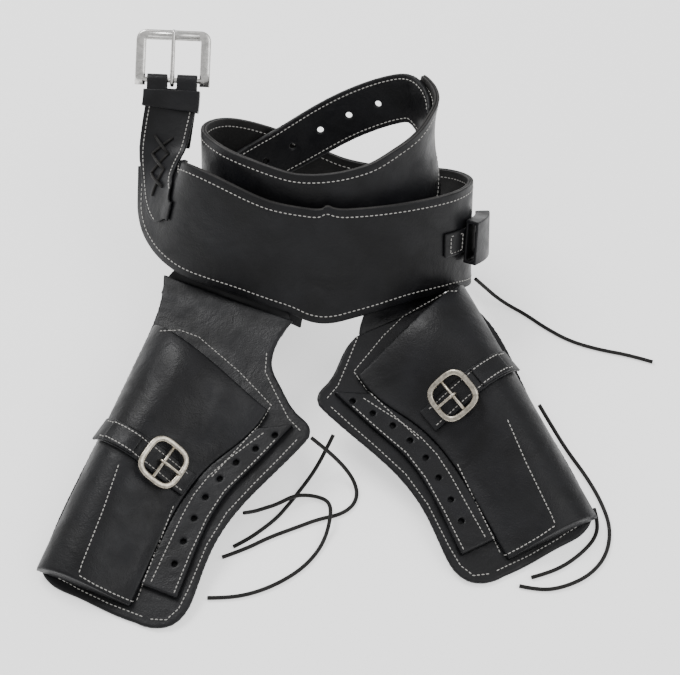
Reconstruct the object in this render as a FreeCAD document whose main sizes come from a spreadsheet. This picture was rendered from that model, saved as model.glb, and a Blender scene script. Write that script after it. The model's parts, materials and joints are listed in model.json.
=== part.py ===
"""Western double-holster gun belt, resting on a table with its belt coiled and its holsters splayed.

Millimetres, +Z up, +X to the right-hand holster, -Y towards the holster toes. The belt is one contoured
strap that runs round an oval coil; the coil leans back and stands on the low edge of its rear turn. Two
mirrored holsters hang from the front of the coil and rest with their toes on the table.
"""
import FreeCAD
import Part
import math
import os
from FreeCAD import Placement, Rotation, Vector

doc = FreeCAD.newDocument("HolsterBelt")

# ---------------------------------------------------------------- driving dimensions
DIMENSIONS = [
    ("beltOuterThickness", 2.4, "outer leather of the belt body"),
    ("beltLiningThickness", 1.8, "lining leather of the belt body"),
    ("glueGap", 0.1, "free space between two leathers that are sewn together"),
    ("fitGap", 0.4, "free space between pieces that move on each other"),
    ("coilLean", 30.0, "lean of the coil away from upright, degrees"),
    ("coilY", 24.4, "centre of the coil along Y"),
    ("coilZ", 21.5, "height of the coil's own origin"),
    ("billetWidth", 38.0, "width of the billet strap"),
    ("billetThickness", 3.4, "thickness of the billet strap"),
    ("billetHoleDiameter", 5.0, "punched hole in the billet strap"),
    ("billetHolePitch", 25.4, "distance between billet holes"),
    ("billetHoleCount", 6, "number of billet holes"),
    ("chapeWidth", 38.0, "width of the buckle strap"),
    ("chapeThickness", 2.2, "leather of the buckle strap"),
    ("buckleWidth", 57.0, "main buckle, across the strap"),
    ("buckleLength", 43.0, "main buckle, along the strap"),
    ("buckleRim", 8.0, "main buckle, width of its side bars"),
    ("buckleThickness", 4.0, "main buckle, thickness of its frame"),
    ("buckleBarDiameter", 4.0, "main buckle, round heel bar"),
    ("tongueDiameter", 3.6, "main buckle tongue"),
    ("keeperThickness", 2.0, "leather of the keeper"),
    ("skirtThickness", 3.2, "holster backing leather"),
    ("pouchWall", 2.8, "holster pouch leather"),
    ("pouchHeight", 31.0, "depth of the pouch at the mouth"),
    ("weltThickness", 5.0, "sewn welt along the holster edge"),
    ("laceHoleDiameter", 4.4, "holes along the welt"),
    ("strapWidth", 19.0, "retaining strap over the pouch"),
    ("strapThickness", 2.0, "leather of the retaining strap"),
    ("ringDiameter", 31.0, "small round buckle, middle of its rim"),
    ("ringRim", 4.2, "small round buckle, thickness of its rim"),
    ("pinDiameter", 2.6, "small buckle bar and tongue"),
    ("holsterPitch", 12.2, "slope of the holsters down to their toes, degrees"),
    ("hangerThickness", 2.6, "leather that hangs each holster from the belt"),
    ("laceDiameter", 3.0, "round leather thong"),
]

sheet = doc.addObject("Spreadsheet::Sheet", "Dimensions")
for row, (alias, value, note) in enumerate(DIMENSIONS, start=1):
    sheet.set("A%d" % row, alias)
    sheet.set("B%d" % row, str(value))
    sheet.setAlias("B%d" % row, alias)
    sheet.set("C%d" % row, note)
doc.recompute()

NODES = []


def size(alias):
    """A driving dimension, read from the spreadsheet."""
    return float(sheet.get(alias))


def keep(obj, label, placement=None):
    """Name an object as a sub-part of the assembly."""
    obj.Label = label
    if placement is not None:
        obj.Placement = placement
    NODES.append(obj)
    return obj


def solid_node(label, shape, placement=None):
    obj = doc.addObject("Part::Feature", label)
    obj.Shape = shape
    return keep(obj, label, placement)


def bind(obj, **sizes):
    """Tie an object's properties to spreadsheet expressions."""
    for name, expression in sizes.items():
        obj.setExpression(name, expression)


# ---------------------------------------------------------------- ribbons: leather along a path
def smooth(stations, steps):
    """Catmull-Rom samples through the stations, `steps` to each span, ends included."""
    last = len(stations) - 1
    samples = []
    for span in range(last):
        before = stations[max(span - 1, 0)]
        start = stations[span]
        end = stations[span + 1]
        after = stations[min(span + 2, last)]
        for step in range(steps):
            f = step / steps
            samples.append(tuple(
                0.5 * (2 * b + (c - a) * f + (2 * a - 5 * b + 4 * c - d) * f ** 2
                       + (3 * b - a - 3 * c + d) * f ** 3)
                for a, b, c, d in zip(before, start, end, after)))
    samples.append(tuple(stations[last]))
    return samples


def frames(samples):
    """(point, along, across, outward, width) at each (x, y, z, width, twist) sample."""
    points = [Vector(*sample[:3]) for sample in samples]
    result = []
    for index, sample in enumerate(samples):
        ahead = points[min(index + 1, len(points) - 1)]
        behind = points[max(index - 1, 0)]
        along = (ahead - behind).normalize()
        twist = math.radians(sample[4])
        across = Vector(math.sin(twist), 0, math.cos(twist))
        across = (across - along * across.dot(along)).normalize()
        result.append((points[index], along, across, along.cross(across), sample[3]))
    return result


def section(point, across, outward, offset, thickness, low, high):
    """Closed rectangle across a ribbon."""
    near = point + outward * (offset - thickness / 2)
    far = point + outward * (offset + thickness / 2)
    corners = [near + across * low, far + across * low, far + across * high, near + across * high]
    return Part.makePolygon(corners + [corners[0]])


def ribbon(stretch, offset, thickness, edges):
    """Solid ribbon along frames; edges(width) gives its low and high edge from the centre line."""
    wires = []
    for point, along, across, outward, width in stretch:
        low, high = edges(width)
        wires.append(section(point, across, outward, offset, thickness, low, high))
    return Part.makeLoft(wires, True, False)


def full_width(width):
    return -width / 2, width / 2


def fixed_width(value):
    return lambda width: (-value / 2, value / 2)


# ---------------------------------------------------------------- belt
STEPS = 4
# Centre line of the belt in the coil's own frame (Z across the belt, -Y to the front):
# x, y, z, width of the belt body, twist of its face towards +X.
BELT_STATIONS = [
    (-127, 39, 161, 38, 90),
    (-128, 32, 145, 38, 90),
    (-131, 24, 127, 38, 70),
    (-134, 12, 104, 46, 42),
    (-132, -10, 83, 72, 20),
    (-112, -34, 76, 88, 6),
    (-64, -52, 62, 82, 0),
    (-30, -56, 53.5, 86, 0),
    (-12, -57, 50.5, 95, 0),
    (8, -56, 51.5, 88, 0),
    (46, -50, 57, 80, 0),
    (84, -30, 58, 79, 0),
    (98, 0, 54, 84, 0),
    (82, 32, 50, 82, 0),
    (40, 50, 46, 80, 0),
    (-10, 54, 54, 80, 0),
    (-58, 46, 77, 82, 0),
    (-91, 26, 93, 82, 0),
    (-102, 0, 96, 80, 0),
    (-82, -28, 90, 80, 0),
    (-40, -43, 79, 80, 0),
    (0, -46, 80, 80, 0),
    (36, -39, 92, 76, 0),
    (61, -22, 114, 70, 0),
    (69, 4, 136, 58, 0),
    (59, 26, 150, 44, 0),
    (40, 38, 147, 40, 0),
    (4, 45, 131, 40, 0),
    (-38, 42, 108, 40, 0),
    (-76, 24, 93, 40, 0),
    (-90, 6, 88, 30, 0),
]
BODY_START = 3
BODY_END = 25
BILLET_START = 24
TAB_END = 4.5
FIRST_HOLE = 0.93
coil = Placement(Vector(0, size("coilY"), size("coilZ")), Rotation(Vector(1, 0, 0), -size("coilLean")))
belt_frames = frames(smooth(BELT_STATIONS, STEPS))


def stretch(start, end):
    """Belt frames between two station numbers."""
    return belt_frames[int(round(start * STEPS)):int(round(end * STEPS)) + 1]


outer_leather = size("beltOuterThickness")
lining_leather = size("beltLiningThickness")
belt_half = (outer_leather + size("glueGap") + lining_leather) / 2
billet_offset = -(belt_half + size("fitGap") + size("billetThickness") / 2)
chape_offset = size("buckleBarDiameter") / 2 + size("fitGap") + size("chapeThickness") / 2


def belt_body():
    body = stretch(BODY_START, BODY_END)
    outer = ribbon(body, belt_half - outer_leather / 2, outer_leather, full_width)
    lining = ribbon(body, lining_leather / 2 - belt_half, lining_leather, full_width)
    solid_node("belt_outer", outer, coil)
    solid_node("belt_lining", lining, coil)


def punch_row(strap, run, offset, count, pitch, diameter, reach):
    """Cut `count` round holes through a ribbon, `pitch` apart along its frames."""
    travelled = 0
    wanted = pitch * FIRST_HOLE
    done = 0
    for here, there in zip(run, run[1:]):
        step = there[0] - here[0]
        while done < count and wanted <= travelled + step.Length:
            centre = here[0] + step * ((wanted - travelled) / step.Length) + here[3] * offset
            strap = strap.cut(Part.makeCylinder(diameter / 2, reach, centre - here[3] * reach / 2, here[3]))
            done += 1
            wanted += pitch
        travelled += step.Length
    return strap


def billet_strap():
    """Narrow strap sewn inside the belt's end, with punched holes and a tapered tip."""
    thickness = size("billetThickness")
    strap = ribbon(stretch(BILLET_START, len(BELT_STATIONS) - 1), billet_offset, thickness,
                   lambda width: full_width(min(width, size("billetWidth"))))
    strap = punch_row(strap, stretch(BODY_END + 0.5, len(BELT_STATIONS) - 1), billet_offset,
                      int(size("billetHoleCount")), size("billetHolePitch"),
                      size("billetHoleDiameter"), 4 * thickness)
    solid_node("billet_strap", strap, coil)


belt_body()
billet_strap()


# ---------------------------------------------------------------- buckle end of the belt
# Slot in the fold of the buckle strap that the tongue swings through.
SLOT_LENGTH = 14
SLOT_AIR = 3.6
# Crossed thong stitches on the strap's tab: thong radius, half the width of a cross, where each starts.
LACING_RADIUS = 1.1
LACING_REACH = 7
LACING_STARTS = (2.25, 2.75, 3.25)
heel, heel_along, heel_across, heel_out, heel_width = belt_frames[0]
buckle_place = coil.multiply(Placement(heel, Rotation(heel_across, heel_along * -1, heel_out, "ZXY")))


def buckle_strap():
    """Strap that folds round the heel bar: long tab outside the belt, short return inside it."""
    thickness = size("chapeThickness")
    half = size("chapeWidth") / 2
    wires = []
    tab = stretch(0, TAB_END)
    for index, (point, along, across, outward, width) in enumerate(reversed(tab)):
        tip = min(1.0, 0.45 + 0.28 * index)
        wires.append(section(point, across, outward, chape_offset, thickness, -half * tip, half * tip))
    for turn in range(30, 180, 30):
        angle = math.radians(turn)
        out = heel_out * math.cos(angle) - heel_along * math.sin(angle)
        wires.append(section(heel, heel_across, out, chape_offset, thickness, -half, half))
    for point, along, across, outward, width in stretch(0, BODY_START - 0.5):
        wires.append(section(point, across, outward * -1, chape_offset, thickness, -half, half))
    strap = Part.makeLoft(wires, True, False)
    slot_width = size("tongueDiameter") + SLOT_AIR
    slot = Part.makeBox(slot_width, SLOT_LENGTH, SLOT_LENGTH,
                        Vector(-slot_width / 2, -SLOT_LENGTH / 2 + 0.5, -SLOT_LENGTH / 2))
    slot.Placement = Placement(heel, Rotation(heel_across, heel_along * -1, heel_out, "ZXY"))
    solid_node("buckle_strap", strap.cut(slot), coil)


def buckle_keeper():
    """Leather band round both plies of the buckle strap."""
    gap = size("fitGap")
    wall = size("keeperThickness")
    band = stretch(0.5, 1.25)
    inner_height = 2 * chape_offset + size("chapeThickness") + 2 * gap
    inner_width = size("chapeWidth") + 2 * gap
    ring = ribbon(band, 0, inner_height + 2 * wall, fixed_width(inner_width + 2 * wall))
    hollow = ribbon(stretch(0.25, 1.5), 0, inner_height, fixed_width(inner_width))
    solid_node("buckle_keeper", ring.cut(hollow), coil)


def main_buckle():
    """Flat rectangular frame with a round heel bar, and the tongue that hangs on the bar."""
    frame = doc.addObject("Part::Box", "BuckleOutline")
    bind(frame, Length="Dimensions.buckleWidth", Width="Dimensions.buckleLength",
         Height="Dimensions.buckleThickness")
    doc.recompute()
    rounded = doc.addObject("Part::Fillet", "BuckleCorners")
    rounded.Base = frame
    upright = [index + 1 for index, edge in enumerate(frame.Shape.Edges)
               if abs(edge.tangentAt(edge.FirstParameter).z) > 0.9]
    rounded.Edges = [(index, 5.0, 5.0) for index in upright]
    window = doc.addObject("Part::Box", "BuckleWindow")
    bind(window, Length="Dimensions.buckleWidth - 2 * Dimensions.buckleRim",
         Width="Dimensions.buckleLength - Dimensions.buckleRim + 1",
         Height="Dimensions.buckleThickness + 2")
    window.Placement.Base = Vector(0, -1, -1)
    window.setExpression("Placement.Base.x", "Dimensions.buckleRim")
    cut = doc.addObject("Part::Cut", "BuckleRing")
    cut.Base = rounded
    cut.Tool = window
    bar = doc.addObject("Part::Cylinder", "BuckleBar")
    bind(bar, Radius="Dimensions.buckleBarDiameter / 2",
         Height="Dimensions.buckleWidth - Dimensions.buckleRim")
    bar.Placement = Placement(Vector(size("buckleRim") / 2, size("buckleThickness") + 1,
                                     size("buckleThickness") / 2), Rotation(Vector(0, 1, 0), 90))
    joined = doc.addObject("Part::Fuse", "MainBuckleFrame")
    joined.Base = cut
    joined.Tool = bar
    to_bar = Placement(Vector(-size("buckleWidth") / 2, -size("buckleThickness") - 1,
                              -size("buckleThickness") / 2), Rotation())
    keep(joined, "main_buckle_frame", buckle_place.multiply(to_bar))


def tongue_shape(bar, gap, thick, length, rise):
    """A tongue lying along +Y: an eye round the bar at the origin and a tapered pin."""
    eye_outer = bar / 2 + gap + thick / 2
    eye = Part.makeCylinder(eye_outer, thick, Vector(-thick / 2, 0, 0), Vector(1, 0, 0))
    start = Vector(0, 0, eye_outer - thick / 4)
    lift = Vector(0, length, rise - start.z)
    pin = Part.makeCone(thick / 2, thick / 2.6, lift.Length, start, lift)
    tip = Part.makeSphere(thick / 2.6, start + lift)
    bore = Part.makeCylinder(bar / 2 + gap, 3 * thick, Vector(-1.5 * thick, 0, 0), Vector(1, 0, 0))
    return eye.fuse([pin, tip]).removeSplitter().cut(bore)


def main_tongue():
    thick = size("tongueDiameter")
    rise = size("buckleThickness") / 2 + size("glueGap") + thick / 2
    reach = size("buckleLength") - size("buckleThickness")
    shape = tongue_shape(size("buckleBarDiameter"), size("glueGap") * 2, thick, reach, rise)
    solid_node("main_buckle_tongue", shape, buckle_place)


def chape_lacing():
    """Three crossed stitches of thong that tie the strap's tab to the belt."""
    level = chape_offset + size("chapeThickness") / 2 + LACING_RADIUS + size("fitGap")
    crosses = []
    for start in LACING_STARTS:
        low = belt_frames[int(start * STEPS)]
        high = belt_frames[int((start + 0.5) * STEPS)]
        for side in (1, -1):
            first = low[0] + low[3] * level + low[2] * (LACING_REACH * side)
            second = high[0] + high[3] * level - high[2] * (LACING_REACH * side)
            crosses.append(Part.makeCylinder(LACING_RADIUS, (second - first).Length, first, second - first))
            crosses.append(Part.makeSphere(LACING_RADIUS, first))
            crosses.append(Part.makeSphere(LACING_RADIUS, second))
    solid_node("chape_lacing", crosses[0].fuse(crosses[1:]), coil)


buckle_strap()
buckle_keeper()
main_buckle()
main_tongue()
chape_lacing()


# ---------------------------------------------------------------- pieces on the belt's front
LOOP_DEPTH = 11


def side_tab():
    """Small tab sewn on the belt's right, and the loop that it holds."""
    thickness = 2.2
    level = belt_half + size("glueGap") + thickness / 2
    tab = ribbon(stretch(10.75, 11.75), level, thickness, lambda width: (-10, 9))
    solid_node("side_tab", tab, coil)
    rise = level + thickness / 2 + size("glueGap") + LOOP_DEPTH / 2
    band = ribbon(stretch(11.25, 12.0), rise, LOOP_DEPTH, lambda width: (-18, 16))
    hollow = ribbon(stretch(11.0, 12.25), rise, LOOP_DEPTH - 2 * thickness, lambda width: (-15.5, 13.5))
    solid_node("side_tab_loop", band.cut(hollow), coil)


def hanger(label, start, end):
    """Leather sewn to the belt's lining, which a holster's neck hangs from."""
    thickness = size("hangerThickness")
    level = -(belt_half + size("fitGap") + thickness / 2)
    plate = ribbon(stretch(start, end), level, thickness,
                   lambda width: (-width / 2 + 4, -width / 2 + 46))
    solid_node(label, plate, coil)


def centre_drop():
    """Short leather panel that shows under the belt's lowest point, between the holsters."""
    thickness = size("hangerThickness")
    level = -(belt_half + size("fitGap") + thickness / 2)
    drop = ribbon(stretch(6.75, 7.5), level, thickness, lambda width: (-width / 2 - 10, -width / 2 + 30))
    solid_node("centre_drop", drop, coil)


side_tab()
hanger("left_hanger", 5.0, 6.75)
hanger("right_hanger", 9.25, 10.75)
centre_drop()


# ---------------------------------------------------------------- holsters
# Across (from the folded edge to the welt) and down (towards the toe), seen on the left holster.
FOLD_EDGE = [(-4, -20), (-2, 20), (-2, 100), (-2, 170), (0, 192)]
TOE_EDGE = [(0, 192), (4, 203), (14, 209), (35, 211), (61, 213), (85, 213)]
WELT_EDGE = [(85, 213), (100, 211), (110, 204), (115, 192), (115, 175), (113, 140), (117, 112),
             (127, 82), (137, 57), (144, 36)]
SHOULDER_EDGE = [(144, 36), (141, 28), (129, 22), (108, 6), (96, -6), (92, -20)]
# How far the neck of each holster reaches up under the belt, and its width there.
NECKS = {"left": (-46, -12, 96), "right": (-2, 10, 93)}
POUCH_EDGE = [(130, 32), (126, 44), (117, 70), (107, 97), (103, 120), (103, 150), (105, 186)]
LACE_HOLES = [(116, 45), (107, 60), (98, 75), (92, 91), (88, 108), (87, 126), (87, 145), (88, 163)]
# Pouch sections: start down the folded edge, slant, width over the top, share of the full height.
POUCH_SECTIONS = [(-3, 0.29, 108, 0.88), (16, 0.28, 105, 1.0), (42, 0.22, 97, 0.98),
                  (70, 0.14, 87, 0.94), (105, 0.05, 79, 0.88), (150, 0.0, 76, 0.78),
                  (204, 0.0, 76, 0.62)]
CREST = 0.36
EDGE_HEIGHT = 5.0


def crown(share):
    """Height of the pouch over its flat back, 0 to 1, at a share of its width."""
    if share < CREST:
        return math.sqrt(max(0.0, 1 - ((CREST - share) / CREST) ** 2))
    return (0.5 + 0.5 * math.cos(math.pi * (share - CREST) / (1 - CREST))) ** 0.8


def pouch_height(share, height):
    floor = EDGE_HEIGHT if share > CREST else 0
    return floor + (height - floor) * crown(share)


def pouch_solid(side, base, inset, start_shift, end_shift, bottom):
    """Closed pouch form; inset shrinks it to the hollow inside."""
    wires = []
    last = len(POUCH_SECTIONS) - 1
    for index, (down, slant, width, share) in enumerate(POUCH_SECTIONS):
        if index == 0:
            down += start_shift
        if index == last:
            down += end_shift
        height = size("pouchHeight") * share - inset
        span = width - 2 * inset
        points = []
        for step in (0, 0.03, 0.1, 0.2, CREST, 0.5, 0.65, 0.8, 0.92, 1):
            across = inset + span * step
            top = pouch_height(step, height)
            if inset and step > CREST:
                top = max(top - inset * (1 - crown(step)), 1.0)
            points.append(Vector(side * across, -(down + slant * across), base + top))
        top_edge = Part.BSplineCurve()
        top_edge.interpolate(points)
        left = points[0]
        right = points[-1]
        left_foot = Vector(left.x, left.y, base + bottom)
        right_foot = Vector(right.x, right.y, base + bottom)
        edges = [top_edge.toShape(), Part.makeLine(right, right_foot), Part.makeLine(right_foot, left_foot)]
        if (left - left_foot).Length > 0.001:
            edges.append(Part.makeLine(left_foot, left))
        wires.append(Part.Wire(edges))
    return Part.makeLoft(wires, True, False)


def spline_through(points, side, level=0):
    curve = Part.BSplineCurve()
    curve.interpolate([Vector(side * across, -down, level) for across, down in points])
    return curve


def role_plane(body, role):
    return next(item for item in body.Origin.OriginFeatures if item.Role == role)


def skirt(prefix, side, place):
    """Backing leather with its neck, padded from one outline."""
    body = doc.addObject("PartDesign::Body", prefix + "Skirt")
    sketch = body.newObject("Sketcher::SketchObject", prefix + "SkirtOutline")
    sketch.AttachmentSupport = (role_plane(body, "XY_Plane"), [""])
    sketch.MapMode = "FlatFace"
    reach, near, far = NECKS[prefix]
    fold = [point for point in FOLD_EDGE if point[1] > reach]
    shoulder = [point for point in SHOULDER_EDGE if point[1] > reach + 5]
    for points in ([(near, reach)] + fold, TOE_EDGE, WELT_EDGE, shoulder + [(far, reach)]):
        sketch.addGeometry(spline_through(points, side), False)
    ends = [Vector(side * far, -reach, 0), Vector(side * near, -reach, 0)]
    sketch.addGeometry(Part.LineSegment(*ends), False)
    pad = body.newObject("PartDesign::Pad", prefix + "SkirtLeather")
    pad.Profile = sketch
    pad.setExpression("Length", "Dimensions.skirtThickness")
    keep(body, prefix + "_skirt", place)


def welt(prefix, side, place):
    """Flat strip sewn along the pouch's open edge, with its row of holes."""
    base = size("skirtThickness") + size("glueGap")
    gap = size("fitGap")
    inner = []
    for down, slant, width, share in POUCH_SECTIONS[1:]:
        inner.append((width + gap, min(down + slant * width, POUCH_EDGE[-1][1])))
    outer = spline_through(POUCH_EDGE, side, base).toShape()
    inside = spline_through(inner, side, base).toShape()
    top = Part.makeLine(inside.Vertexes[0].Point, outer.Vertexes[0].Point)
    toe = Part.makeLine(inside.Vertexes[1].Point, outer.Vertexes[1].Point)
    face = Part.Face(Part.Wire(Part.__sortEdges__([inside, top, outer, toe])))
    strip = face.extrude(Vector(0, 0, size("weltThickness") - 0.5))
    for across, down in LACE_HOLES:
        hole = Part.makeCylinder(size("laceHoleDiameter") / 2, 20, Vector(side * (across + 5), -down, 0))
        strip = strip.cut(hole)
    solid_node(prefix + "_welt", strip, place)


def pouch(prefix, side, place):
    base = size("skirtThickness") + size("glueGap")
    wall = size("pouchWall")
    outer = pouch_solid(side, base, 0, 0, 0, 0)
    hollow = pouch_solid(side, base, wall, -6, -wall, -1)
    solid_node(prefix + "_pouch", outer.cut(hollow), place)


def top_of_pouch(across, down_at_fold, slope):
    """Pouch height under a strap that crosses it, by interpolating between sections."""
    down = down_at_fold + slope * across
    rows = [(start + slant * across, width, share) for start, slant, width, share in POUCH_SECTIONS]
    for (d0, w0, s0), (d1, w1, s1) in zip(rows, rows[1:]):
        if d0 <= down <= d1:
            f = (down - d0) / (d1 - d0)
            width = w0 + (w1 - w0) * f
            share = s0 + (s1 - s0) * f
            return pouch_height(min(1.0, across / width), size("pouchHeight") * share)
    return 0.0


# How far down each holster its strap starts: left holster (side 1), right holster (side -1).
STRAP_DOWN = {1: 90, -1: 70}
STRAP_SLOPE = 0.19
STRAP_LIFT = 1.2
BUCKLE_ACROSS = 55


def strap_frames(side, level, start, end, count):
    """Frames along the strap's path over the pouch, `level` above its surface."""
    base = size("skirtThickness") + size("glueGap")
    start_down = STRAP_DOWN[side]
    across_dir = Vector(side * -STRAP_SLOPE, -1, 0).normalize()
    points = []
    for index in range(count + 1):
        across = start + (end - start) * index / count
        slope_here = (top_of_pouch(across + 0.5, start_down, STRAP_SLOPE)
                      - top_of_pouch(max(across - 0.5, 0), start_down, STRAP_SLOPE))
        height = top_of_pouch(max(across, 0), start_down, STRAP_SLOPE)
        normal = Vector(-slope_here * side, 0, 1).normalize()
        surface = Vector(side * across, -(start_down + STRAP_SLOPE * across), base + height)
        points.append(surface + normal * level)
    result = []
    for index, point in enumerate(points):
        ahead = points[min(index + 1, count)]
        behind = points[max(index - 1, 0)]
        along = (ahead - behind).normalize() * side
        cross = (across_dir - along * across_dir.dot(along)).normalize()
        outward = along.cross(cross)
        if outward.z < 0:
            outward = outward * -1
        result.append((point, along, cross, outward, size("strapWidth")))
    return result


def retaining_strap(prefix, side, place):
    thickness = size("strapThickness")
    level = STRAP_LIFT + thickness / 2
    over = strap_frames(side, level, 3.0, 79, 24)
    solid_node(prefix + "_strap", ribbon(over, 0, thickness, full_width), place)
    rim = (size("ringDiameter") + size("ringRim")) / 2 + size("fitGap")
    upper = strap_frames(side, level + thickness + size("glueGap"), 14, BUCKLE_ACROSS - rim, 10)
    solid_node(prefix + "_strap_chape", ribbon(upper, 0, thickness, fixed_width(size("strapWidth") - 2)),
               place)


def ring_place(side):
    """Plane of the small buckle: just above the strap at its middle."""
    eye = 1.5 * size("pinDiameter")
    level = STRAP_LIFT + size("strapThickness") + size("fitGap") + eye
    frame = strap_frames(side, level, BUCKLE_ACROSS - 1, BUCKLE_ACROSS + 1, 2)[1]
    along = frame[1] * side
    x_axis = Vector(along.x, along.y, along.z)
    if x_axis.x * side < 0:
        x_axis = x_axis * -1
    y_axis = frame[3].cross(x_axis)
    return Placement(frame[0], Rotation(x_axis, y_axis, frame[3], "ZXY"))


def small_buckle(prefix, side, place):
    """Round ring with a bar across it, and a tongue on the bar."""
    local = place.multiply(ring_place(side))
    ring = doc.addObject("Part::Torus", prefix + "Ring")
    bind(ring, Radius1="Dimensions.ringDiameter / 2", Radius2="Dimensions.ringRim / 2")
    bar = doc.addObject("Part::Cylinder", prefix + "RingBar")
    bind(bar, Radius="Dimensions.pinDiameter / 2", Height="Dimensions.ringDiameter")
    bar.Placement = Placement(Vector(0, -size("ringDiameter") / 2, 0), Rotation(Vector(1, 0, 0), -90))
    joined = doc.addObject("Part::Fuse", prefix + "RingBuckle")
    joined.Base = ring
    joined.Tool = bar
    keep(joined, prefix + "_ring_buckle", local)
    thick = size("pinDiameter")
    shape = tongue_shape(size("pinDiameter"), size("glueGap") * 2, thick, size("ringDiameter") / 2,
                         size("ringRim") / 2 + thick / 2 + size("glueGap"))
    to_bar = Placement(Vector(), Rotation(Vector(0, 0, 1), -90))
    solid_node(prefix + "_ring_tongue", shape, local.multiply(to_bar))


def holster(prefix, side, place):
    skirt(prefix, side, place)
    welt(prefix, side, place)
    pouch(prefix, side, place)
    retaining_strap(prefix, side, place)
    small_buckle(prefix, side, place)


def holster_place(x, y, z, yaw):
    turn = Rotation(Vector(0, 0, 1), yaw).multiply(Rotation(Vector(1, 0, 0), size("holsterPitch")))
    return Placement(Vector(x, y, z), turn)


left_place = holster_place(-140.5, -27.2, 45.2, -23.6)
right_place = holster_place(94.5, 10, 45.2, 28.2)
holster("left", 1, left_place)
holster("right", -1, right_place)

# ---------------------------------------------------------------- thongs
# Height of a thong's centre line where it lies on the table, with a little air under it.
FLOOR = size("laceDiameter") / 2 + 0.15
CORD_ROUTES = {
    "left_tie_cord": [(-21, -118, 40), (-12, -122, 33), (-3, -125, 23), (5, -128, 12), (11, -134, 4),
                      (13, -144, FLOOR), (9, -154, FLOOR), (-1, -161, FLOOR), (-16, -164.5, FLOOR),
                      (-33, -172, FLOOR), (-52, -180, FLOOR), (-69, -190, FLOOR), (-86, -197, FLOOR)],
    "centre_tie_cord": [(-5, -109, 30), (-12, -119, 19), (-20, -129, 9), (-29, -139, 2.5),
                        (-38, -152, FLOOR), (-47, -164, FLOOR), (-58, -174, FLOOR), (-68, -182, FLOOR),
                        (-78, -188, FLOOR)],
    "left_loop_cord": [(-70, -171.5, 22), (-64, -167, 16), (-56, -161, 11), (-46, -156, 9),
                       (-34, -148, 8), (-23, -145, 4), (-12, -147, 2.5), (-7, -156, 8),
                       (-7, -167, 8.5), (-10, -179, 3), (-16, -192, FLOOR), (-27, -206, FLOOR),
                       (-43, -218, FLOOR), (-62, -227, FLOOR), (-81, -231, FLOOR), (-96, -231, FLOOR)],
    "right_tie_cord": [(149, -77, 22), (159, -89, 10), (170, -106, 3), (183, -127, FLOOR),
                       (193, -149, FLOOR), (199, -172, FLOOR), (195, -195, FLOOR), (182, -212, FLOOR),
                       (163, -222, FLOOR), (145, -225, FLOOR), (130, -221, FLOOR)],
    "right_loop_cord": [(187.5, -156, 2.5), (190, -168, FLOOR), (187, -181, FLOOR), (177, -193, FLOOR),
                        (165, -203, FLOOR), (152, -210, FLOOR), (139, -214, FLOOR)],
    "belt_cord": [(104, 34, 30), (112, 33, 20), (121, 31, 10), (131, 28, 3), (143, 21, FLOOR),
                  (158, 8, FLOOR), (177, -5, FLOOR), (200, -13, FLOOR), (221, -17.5, FLOOR), (239, -24, FLOOR)],
}
ARC_SHARE = 0.45


def cord(label, route, diameter):
    """Round thong: straight runs joined by tangent arcs, swept with a round section."""
    points = [Vector(*point) for point in route]
    edges = []
    radii = []
    start = points[0]
    for before, corner, after in zip(points, points[1:], points[2:]):
        back = (before - corner).normalize()
        ahead = (after - corner).normalize()
        half_turn = math.acos(max(-1.0, min(1.0, -back.dot(ahead)))) / 2
        cut = ARC_SHARE * min((before - corner).Length, (after - corner).Length)
        radius = cut / math.tan(half_turn)
        radii.append(radius)
        enter = corner + back * cut
        leave = corner + ahead * cut
        middle = (back + ahead).normalize() * (radius / math.cos(half_turn) - radius) + corner
        edges.append(Part.LineSegment(start, enter).toShape())
        edges.append(Part.Arc(enter, middle, leave).toShape())
        start = leave
    edges.append(Part.LineSegment(start, points[-1]).toShape())
    path = Part.Wire(edges)
    ring = Part.Wire(Part.makeCircle(diameter / 2, points[0], points[1] - points[0]))
    tube = path.makePipeShell([ring], True, True)
    if tube.Volume < 0:
        tube.reverse()
    expected = math.pi * diameter ** 2 / 4 * path.Length
    print("%s: %.0f mm long, radii %s, volume ratio %.4f" % (
        label, path.Length, " ".join("%.0f" % radius for radius in radii), tube.Volume / expected))
    solid_node(label, tube)


for cord_label, cord_route in CORD_ROUTES.items():
    cord(cord_label, cord_route, size("laceDiameter"))


# ---------------------------------------------------------------- origin, checks and export
doc.recompute()
whole = FreeCAD.BoundBox()
for node in NODES:
    if not node.Label.endswith("_cord"):
        whole.add(node.Shape.optimalBoundingBox(False))
origin = Vector(whole.Center.x, whole.Center.y, whole.ZMin)
for node in NODES:
    moved = node.Placement
    node.Placement = Placement(moved.Base - origin, moved.Rotation)
doc.recompute()

for item in doc.Objects:
    if "Invalid" in item.State or "Error" in item.State:
        raise RuntimeError("%s did not build: %s" % (item.Name, item.getStatusString()))
for node in NODES:
    if node.Shape.isNull() or not node.Shape.isValid() or not node.Shape.Solids:
        raise RuntimeError("%s has no valid solid" % node.Label)

os.makedirs("parts", exist_ok=True)
for node in NODES:
    node.Shape.exportStep("parts/%s.step" % node.Label)
print("%d nodes, origin moved by %.2f %.2f %.2f" % (len(NODES), origin.x, origin.y, origin.z))
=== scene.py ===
"""Western double-holster gun belt, laid out with its belt coiled: leather, thread, thongs and metal."""
import bmesh
import bpy
import json
import math
import numpy
from mathutils import Matrix, Vector
from mathutils.bvhtree import BVHTree

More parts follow.
